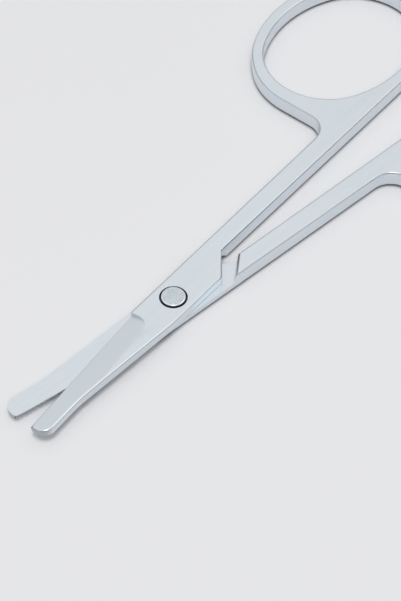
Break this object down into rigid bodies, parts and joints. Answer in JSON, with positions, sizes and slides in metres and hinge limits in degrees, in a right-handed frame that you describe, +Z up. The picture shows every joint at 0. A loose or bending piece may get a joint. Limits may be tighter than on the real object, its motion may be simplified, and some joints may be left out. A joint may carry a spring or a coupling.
{
  "type": "safety scissors",
  "caption": "Small all-metal grooming scissors with blunt rounded tips, a riveted half-lap joint and oval finger rings.",
  "frame": {"origin": "on the pivot's axis, in the face that the closed or open scissors lie on", "axes": "+X along the scissors from the pivot to the finger rings, halfway between the two shanks; +Z up, out of the face that carries the rivet's head; +Y towards the upper half's ring"},
  "size_m": [0.0906, 0.0534, 0.0027],
  "materials": {
    "half_steel": "satin",
    "rivet_steel": "satin"
  },
  "bodies": {
    "lower": {"lower_half": "half_steel", "pivot_rivet": "rivet_steel"},
    "upper": {"upper_half": "half_steel"}
  },
  "joints": [
    {"name": "pivot", "type": "hinge", "parent": "lower", "child": "upper", "pos_m": [0, 0, 0], "axis": [0, 0, 1], "range_deg": [-8.5, 134]}
  ]
}
